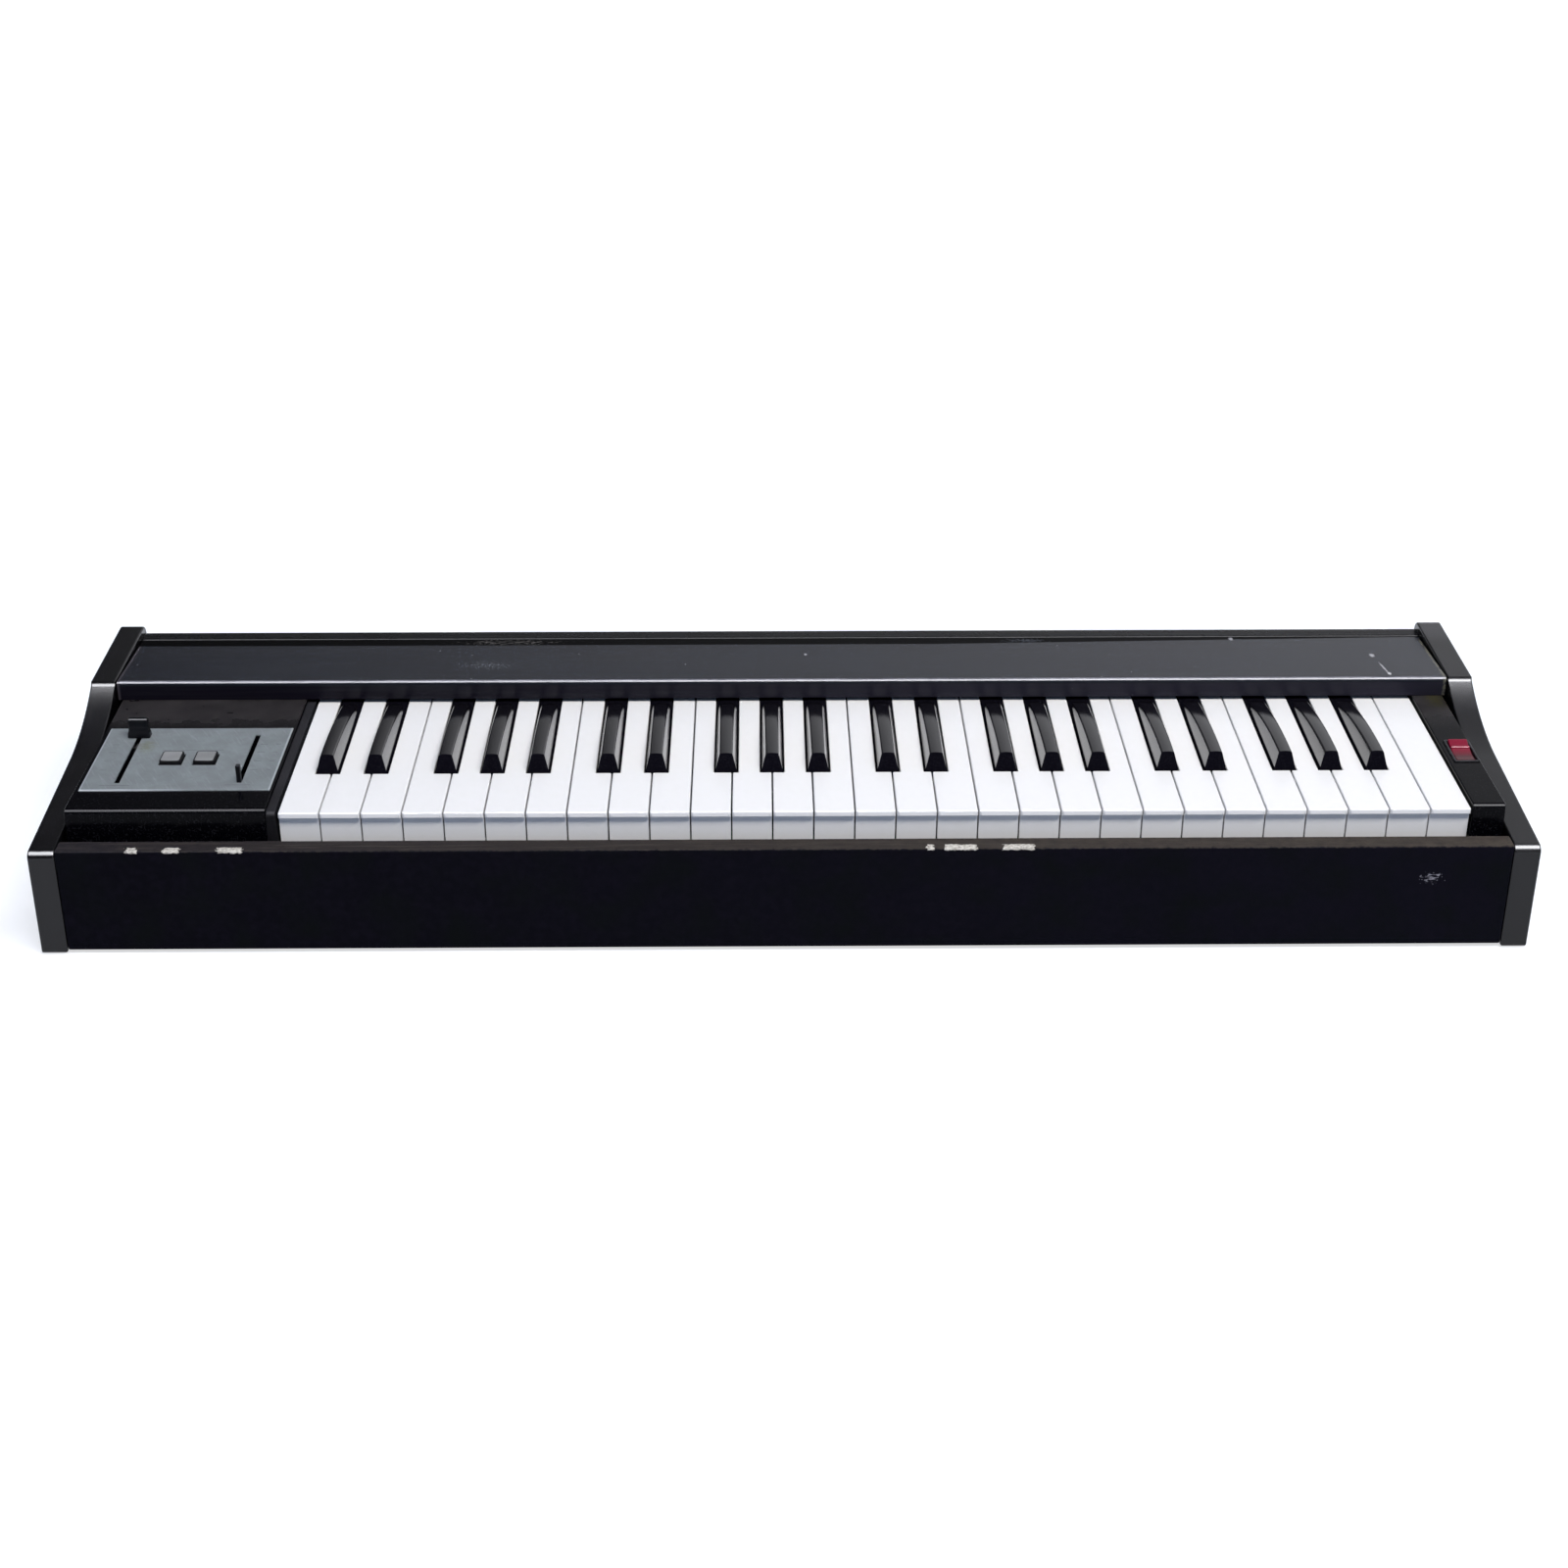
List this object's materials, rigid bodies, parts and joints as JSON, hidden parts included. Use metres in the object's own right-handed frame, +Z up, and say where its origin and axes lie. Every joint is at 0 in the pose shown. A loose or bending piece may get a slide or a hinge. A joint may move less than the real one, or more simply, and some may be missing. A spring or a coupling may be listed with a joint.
{
  "type": "string synthesizer",
  "caption": "Low electronic keyboard with black end cheeks, hinged keys, a plate with sliders and push buttons, and a power rocker.",
  "frame": {"origin": "on the floor, below the middle of the case's width and depth", "axes": "+X to the player's right along the keyboard, +Y to the rear, +Z up"},
  "size_m": [0.861, 0.253, 0.0985],
  "materials": {
    "base_paint": "black lacquer, satin",
    "board_covering": "black fine textured covering",
    "cheek_moulding": "satin",
    "cover_paint": "satin",
    "block_moulding": "gloss",
    "slider_plastic": "matte",
    "lever_steel": "matte",
    "button_plastic": "matte",
    "rocker_plastic": "translucent gloss",
    "white_key_plastic": "satin gloss",
    "black_key_plastic": "satin gloss"
  },
  "bodies": {
    "case": {"base_tray": "base_paint", "front_board": "board_covering", "left_cheek": "cheek_moulding", "right_cheek": "cheek_moulding", "top_cover": "cover_paint", "control_block": "block_moulding"},
    "slider_knob": {"slider_knob": "slider_plastic"},
    "slider_lever": {"slider_lever": "lever_steel"},
    "button_left": {"button_left": "button_plastic"},
    "button_right": {"button_right": "button_plastic"},
    "power_rocker": {"power_rocker": "rocker_plastic"},
    "white_key_01": {"white_key_01": "white_key_plastic"},
    "white_key_02": {"white_key_02": "white_key_plastic"},
    "white_key_03": {"white_key_03": "white_key_plastic"},
    "white_key_04": {"white_key_04": "white_key_plastic"},
    "white_key_05": {"white_key_05": "white_key_plastic"},
    "white_key_06": {"white_key_06": "white_key_plastic"},
    "white_key_07": {"white_key_07": "white_key_plastic"},
    "white_key_08": {"white_key_08": "white_key_plastic"},
    "white_key_09": {"white_key_09": "white_key_plastic"},
    "white_key_10": {"white_key_10": "white_key_plastic"},
    "white_key_11": {"white_key_11": "white_key_plastic"},
    "white_key_12": {"white_key_12": "white_key_plastic"},
    "white_key_13": {"white_key_13": "white_key_plastic"},
    "white_key_14": {"white_key_14": "white_key_plastic"},
    "white_key_15": {"white_key_15": "white_key_plastic"},
    "white_key_16": {"white_key_16": "white_key_plastic"},
    "white_key_17": {"white_key_17": "white_key_plastic"},
    "white_key_18": {"white_key_18": "white_key_plastic"},
    "white_key_19": {"white_key_19": "white_key_plastic"},
    "white_key_20": {"white_key_20": "white_key_plastic"},
    "white_key_21": {"white_key_21": "white_key_plastic"},
    "white_key_22": {"white_key_22": "white_key_plastic"},
    "white_key_23": {"white_key_23": "white_key_plastic"},
    "white_key_24": {"white_key_24": "white_key_plastic"},
    "white_key_25": {"white_key_25": "white_key_plastic"},
    "white_key_26": {"white_key_26": "white_key_plastic"},
    "white_key_27": {"white_key_27": "white_key_plastic"},
    "white_key_28": {"white_key_28": "white_key_plastic"},
    "white_key_29": {"white_key_29": "white_key_plastic"},
    "black_key_01": {"black_key_01": "black_key_plastic"},
    "black_key_02": {"black_key_02": "black_key_plastic"},
    "black_key_03": {"black_key_03": "black_key_plastic"},
    "black_key_04": {"black_key_04": "black_key_plastic"},
    "black_key_05": {"black_key_05": "black_key_plastic"},
    "black_key_06": {"black_key_06": "black_key_plastic"},
    "black_key_07": {"black_key_07": "black_key_plastic"},
    "black_key_08": {"black_key_08": "black_key_plastic"},
    "black_key_09": {"black_key_09": "black_key_plastic"},
    "black_key_10": {"black_key_10": "black_key_plastic"},
    "black_key_11": {"black_key_11": "black_key_plastic"},
    "black_key_12": {"black_key_12": "black_key_plastic"},
    "black_key_13": {"black_key_13": "black_key_plastic"},
    "black_key_14": {"black_key_14": "black_key_plastic"},
    "black_key_15": {"black_key_15": "black_key_plastic"},
    "black_key_16": {"black_key_16": "black_key_plastic"},
    "black_key_17": {"black_key_17": "black_key_plastic"},
    "black_key_18": {"black_key_18": "black_key_plastic"},
    "black_key_19": {"black_key_19": "black_key_plastic"},
    "black_key_20": {"black_key_20": "black_key_plastic"}
  },
  "joints": [
    {"name": "slider_knob_slide", "type": "slide", "parent": "case", "child": "slider_knob", "axis": [0, -1, 0], "range_m": [0, 0.0595]},
    {"name": "slider_lever_slide", "type": "slide", "parent": "case", "child": "slider_lever", "axis": [0, 1, 0], "range_m": [0, 0.0595]},
    {"name": "button_left_press", "type": "slide", "parent": "case", "child": "button_left", "axis": [0, 0, -1], "range_m": [0, 0.003], "stiffness_N_per_m": 250, "springref_m": -0.002},
    {"name": "button_right_press", "type": "slide", "parent": "case", "child": "button_right", "axis": [0, 0, -1], "range_m": [0, 0.003], "stiffness_N_per_m": 250, "springref_m": -0.002},
    {"name": "power_rocker_tip", "type": "hinge", "parent": "case", "child": "power_rocker", "pos_m": [0.4043, -0.04, 0.0825], "axis": [1, 0, 0], "range_deg": [-14, 0]},
    {"name": "white_key_01_press", "type": "hinge", "parent": "case", "child": "white_key_01", "pos_m": [-0.27871, 0.094, 0.069], "axis": [1, 0, 0], "range_deg": [0, 3], "stiffness_Nm_per_rad": 0.6, "springref_deg": -20.05},
    {"name": "white_key_02_press", "type": "hinge", "parent": "case", "child": "white_key_02", "pos_m": [-0.25514, 0.094, 0.069], "axis": [1, 0, 0], "range_deg": [0, 3], "stiffness_Nm_per_rad": 0.6, "springref_deg": -20.05},
    {"name": "white_key_03_press", "type": "hinge", "parent": "case", "child": "white_key_03", "pos_m": [-0.23157, 0.094, 0.069], "axis": [1, 0, 0], "range_deg": [0, 3], "stiffness_Nm_per_rad": 0.6, "springref_deg": -20.05},
    {"name": "white_key_04_press", "type": "hinge", "parent": "case", "child": "white_key_04", "pos_m": [-0.208, 0.094, 0.069], "axis": [1, 0, 0], "range_deg": [0, 3], "stiffness_Nm_per_rad": 0.6, "springref_deg": -20.05},
    {"name": "white_key_05_press", "type": "hinge", "parent": "case", "child": "white_key_05", "pos_m": [-0.18443, 0.094, 0.069], "axis": [1, 0, 0], "range_deg": [0, 3], "stiffness_Nm_per_rad": 0.6, "springref_deg": -20.05},
    {"name": "white_key_06_press", "type": "hinge", "parent": "case", "child": "white_key_06", "pos_m": [-0.16086, 0.094, 0.069], "axis": [1, 0, 0], "range_deg": [0, 3], "stiffness_Nm_per_rad": 0.6, "springref_deg": -20.05},
    {"name": "white_key_07_press", "type": "hinge", "parent": "case", "child": "white_key_07", "pos_m": [-0.13729, 0.094, 0.069], "axis": [1, 0, 0], "range_deg": [0, 3], "stiffness_Nm_per_rad": 0.6, "springref_deg": -20.05},
    {"name": "white_key_08_press", "type": "hinge", "parent": "case", "child": "white_key_08", "pos_m": [-0.11371, 0.094, 0.069], "axis": [1, 0, 0], "range_deg": [0, 3], "stiffness_Nm_per_rad": 0.6, "springref_deg": -20.05},
    {"name": "white_key_09_press", "type": "hinge", "parent": "case", "child": "white_key_09", "pos_m": [-0.09014, 0.094, 0.069], "axis": [1, 0, 0], "range_deg": [0, 3], "stiffness_Nm_per_rad": 0.6, "springref_deg": -20.05},
    {"name": "white_key_10_press", "type": "hinge", "parent": "case", "child": "white_key_10", "pos_m": [-0.06657, 0.094, 0.069], "axis": [1, 0, 0], "range_deg": [0, 3], "stiffness_Nm_per_rad": 0.6, "springref_deg": -20.05},
    {"name": "white_key_11_press", "type": "hinge", "parent": "case", "child": "white_key_11", "pos_m": [-0.043, 0.094, 0.069], "axis": [1, 0, 0], "range_deg": [0, 3], "stiffness_Nm_per_rad": 0.6, "springref_deg": -20.05},
    {"name": "white_key_12_press", "type": "hinge", "parent": "case", "child": "white_key_12", "pos_m": [-0.01943, 0.094, 0.069], "axis": [1, 0, 0], "range_deg": [0, 3], "stiffness_Nm_per_rad": 0.6, "springref_deg": -20.05},
    {"name": "white_key_13_press", "type": "hinge", "parent": "case", "child": "white_key_13", "pos_m": [0.00414, 0.094, 0.069], "axis": [1, 0, 0], "range_deg": [0, 3], "stiffness_Nm_per_rad": 0.6, "springref_deg": -20.05},
    {"name": "white_key_14_press", "type": "hinge", "parent": "case", "child": "white_key_14", "pos_m": [0.02771, 0.094, 0.069], "axis": [1, 0, 0], "range_deg": [0, 3], "stiffness_Nm_per_rad": 0.6, "springref_deg": -20.05},
    {"name": "white_key_15_press", "type": "hinge", "parent": "case", "child": "white_key_15", "pos_m": [0.05129, 0.094, 0.069], "axis": [1, 0, 0], "range_deg": [0, 3], "stiffness_Nm_per_rad": 0.6, "springref_deg": -20.05},
    {"name": "white_key_16_press", "type": "hinge", "parent": "case", "child": "white_key_16", "pos_m": [0.07486, 0.094, 0.069], "axis": [1, 0, 0], "range_deg": [0, 3], "stiffness_Nm_per_rad": 0.6, "springref_deg": -20.05},
    {"name": "white_key_17_press", "type": "hinge", "parent": "case", "child": "white_key_17", "pos_m": [0.09843, 0.094, 0.069], "axis": [1, 0, 0], "range_deg": [0, 3], "stiffness_Nm_per_rad": 0.6, "springref_deg": -20.05},
    {"name": "white_key_18_press", "type": "hinge", "parent": "case", "child": "white_key_18", "pos_m": [0.122, 0.094, 0.069], "axis": [1, 0, 0], "range_deg": [0, 3], "stiffness_Nm_per_rad": 0.6, "springref_deg": -20.05},
    {"name": "white_key_19_press", "type": "hinge", "parent": "case", "child": "white_key_19", "pos_m": [0.14557, 0.094, 0.069], "axis": [1, 0, 0], "range_deg": [0, 3], "stiffness_Nm_per_rad": 0.6, "springref_deg": -20.05},
    {"name": "white_key_20_press", "type": "hinge", "parent": "case", "child": "white_key_20", "pos_m": [0.16914, 0.094, 0.069], "axis": [1, 0, 0], "range_deg": [0, 3], "stiffness_Nm_per_rad": 0.6, "springref_deg": -20.05},
    {"name": "white_key_21_press", "type": "hinge", "parent": "case", "child": "white_key_21", "pos_m": [0.19271, 0.094, 0.069], "axis": [1, 0, 0], "range_deg": [0, 3], "stiffness_Nm_per_rad": 0.6, "springref_deg": -20.05},
    {"name": "white_key_22_press", "type": "hinge", "parent": "case", "child": "white_key_22", "pos_m": [0.21629, 0.094, 0.069], "axis": [1, 0, 0], "range_deg": [0, 3], "stiffness_Nm_per_rad": 0.6, "springref_deg": -20.05},
    {"name": "white_key_23_press", "type": "hinge", "parent": "case", "child": "white_key_23", "pos_m": [0.23986, 0.094, 0.069], "axis": [1, 0, 0], "range_deg": [0, 3], "stiffness_Nm_per_rad": 0.6, "springref_deg": -20.05},
    {"name": "white_key_24_press", "type": "hinge", "parent": "case", "child": "white_key_24", "pos_m": [0.26343, 0.094, 0.069], "axis": [1, 0, 0], "range_deg": [0, 3], "stiffness_Nm_per_rad": 0.6, "springref_deg": -20.05},
    {"name": "white_key_25_press", "type": "hinge", "parent": "case", "child": "white_key_25", "pos_m": [0.287, 0.094, 0.069], "axis": [1, 0, 0], "range_deg": [0, 3], "stiffness_Nm_per_rad": 0.6, "springref_deg": -20.05},
    {"name": "white_key_26_press", "type": "hinge", "parent": "case", "child": "white_key_26", "pos_m": [0.31057, 0.094, 0.069], "axis": [1, 0, 0], "range_deg": [0, 3], "stiffness_Nm_per_rad": 0.6, "springref_deg": -20.05},
    {"name": "white_key_27_press", "type": "hinge", "parent": "case", "child": "white_key_27", "pos_m": [0.33414, 0.094, 0.069], "axis": [1, 0, 0], "range_deg": [0, 3], "stiffness_Nm_per_rad": 0.6, "springref_deg": -20.05},
    {"name": "white_key_28_press", "type": "hinge", "parent": "case", "child": "white_key_28", "pos_m": [0.35771, 0.094, 0.069], "axis": [1, 0, 0], "range_deg": [0, 3], "stiffness_Nm_per_rad": 0.6, "springref_deg": -20.05},
    {"name": "white_key_29_press", "type": "hinge", "parent": "case", "child": "white_key_29", "pos_m": [0.38129, 0.094, 0.069], "axis": [1, 0, 0], "range_deg": [0, 3], "stiffness_Nm_per_rad": 0.6, "springref_deg": -20.05},
    {"name": "black_key_01_press", "type": "hinge", "parent": "case", "child": "black_key_01", "pos_m": [-0.26933, 0.094, 0.069], "axis": [1, 0, 0], "range_deg": [0, 3], "stiffness_Nm_per_rad": 0.6, "springref_deg": -20.05},
    {"name": "black_key_02_press", "type": "hinge", "parent": "case", "child": "black_key_02", "pos_m": [-0.24096, 0.094, 0.069], "axis": [1, 0, 0], "range_deg": [0, 3], "stiffness_Nm_per_rad": 0.6, "springref_deg": -20.05},
    {"name": "black_key_03_press", "type": "hinge", "parent": "case", "child": "black_key_03", "pos_m": [-0.19981, 0.094, 0.069], "axis": [1, 0, 0], "range_deg": [0, 3], "stiffness_Nm_per_rad": 0.6, "springref_deg": -20.05},
    {"name": "black_key_04_press", "type": "hinge", "parent": "case", "child": "black_key_04", "pos_m": [-0.17264, 0.094, 0.069], "axis": [1, 0, 0], "range_deg": [0, 3], "stiffness_Nm_per_rad": 0.6, "springref_deg": -20.05},
    {"name": "black_key_05_press", "type": "hinge", "parent": "case", "child": "black_key_05", "pos_m": [-0.14547, 0.094, 0.069], "axis": [1, 0, 0], "range_deg": [0, 3], "stiffness_Nm_per_rad": 0.6, "springref_deg": -20.05},
    {"name": "black_key_06_press", "type": "hinge", "parent": "case", "child": "black_key_06", "pos_m": [-0.10433, 0.094, 0.069], "axis": [1, 0, 0], "range_deg": [0, 3], "stiffness_Nm_per_rad": 0.6, "springref_deg": -20.05},
    {"name": "black_key_07_press", "type": "hinge", "parent": "case", "child": "black_key_07", "pos_m": [-0.07596, 0.094, 0.069], "axis": [1, 0, 0], "range_deg": [0, 3], "stiffness_Nm_per_rad": 0.6, "springref_deg": -20.05},
    {"name": "black_key_08_press", "type": "hinge", "parent": "case", "child": "black_key_08", "pos_m": [-0.03481, 0.094, 0.069], "axis": [1, 0, 0], "range_deg": [0, 3], "stiffness_Nm_per_rad": 0.6, "springref_deg": -20.05},
    {"name": "black_key_09_press", "type": "hinge", "parent": "case", "child": "black_key_09", "pos_m": [-0.00764, 0.094, 0.069], "axis": [1, 0, 0], "range_deg": [0, 3], "stiffness_Nm_per_rad": 0.6, "springref_deg": -20.05},
    {"name": "black_key_10_press", "type": "hinge", "parent": "case", "child": "black_key_10", "pos_m": [0.01953, 0.094, 0.069], "axis": [1, 0, 0], "range_deg": [0, 3], "stiffness_Nm_per_rad": 0.6, "springref_deg": -20.05},
    {"name": "black_key_11_press", "type": "hinge", "parent": "case", "child": "black_key_11", "pos_m": [0.06067, 0.094, 0.069], "axis": [1, 0, 0], "range_deg": [0, 3], "stiffness_Nm_per_rad": 0.6, "springref_deg": -20.05},
    {"name": "black_key_12_press", "type": "hinge", "parent": "case", "child": "black_key_12", "pos_m": [0.08904, 0.094, 0.069], "axis": [1, 0, 0], "range_deg": [0, 3], "stiffness_Nm_per_rad": 0.6, "springref_deg": -20.05},
    {"name": "black_key_13_press", "type": "hinge", "parent": "case", "child": "black_key_13", "pos_m": [0.13019, 0.094, 0.069], "axis": [1, 0, 0], "range_deg": [0, 3], "stiffness_Nm_per_rad": 0.6, "springref_deg": -20.05},
    {"name": "black_key_14_press", "type": "hinge", "parent": "case", "child": "black_key_14", "pos_m": [0.15736, 0.094, 0.069], "axis": [1, 0, 0], "range_deg": [0, 3], "stiffness_Nm_per_rad": 0.6, "springref_deg": -20.05},
    {"name": "black_key_15_press", "type": "hinge", "parent": "case", "child": "black_key_15", "pos_m": [0.18453, 0.094, 0.069], "axis": [1, 0, 0], "range_deg": [0, 3], "stiffness_Nm_per_rad": 0.6, "springref_deg": -20.05},
    {"name": "black_key_16_press", "type": "hinge", "parent": "case", "child": "black_key_16", "pos_m": [0.22567, 0.094, 0.069], "axis": [1, 0, 0], "range_deg": [0, 3], "stiffness_Nm_per_rad": 0.6, "springref_deg": -20.05},
    {"name": "black_key_17_press", "type": "hinge", "parent": "case", "child": "black_key_17", "pos_m": [0.25404, 0.094, 0.069], "axis": [1, 0, 0], "range_deg": [0, 3], "stiffness_Nm_per_rad": 0.6, "springref_deg": -20.05},
    {"name": "black_key_18_press", "type": "hinge", "parent": "case", "child": "black_key_18", "pos_m": [0.29519, 0.094, 0.069], "axis": [1, 0, 0], "range_deg": [0, 3], "stiffness_Nm_per_rad": 0.6, "springref_deg": -20.05},
    {"name": "black_key_19_press", "type": "hinge", "parent": "case", "child": "black_key_19", "pos_m": [0.32236, 0.094, 0.069], "axis": [1, 0, 0], "range_deg": [0, 3], "stiffness_Nm_per_rad": 0.6, "springref_deg": -20.05},
    {"name": "black_key_20_press", "type": "hinge", "parent": "case", "child": "black_key_20", "pos_m": [0.34953, 0.094, 0.069], "axis": [1, 0, 0], "range_deg": [0, 3], "stiffness_Nm_per_rad": 0.6, "springref_deg": -20.05}
  ]
}
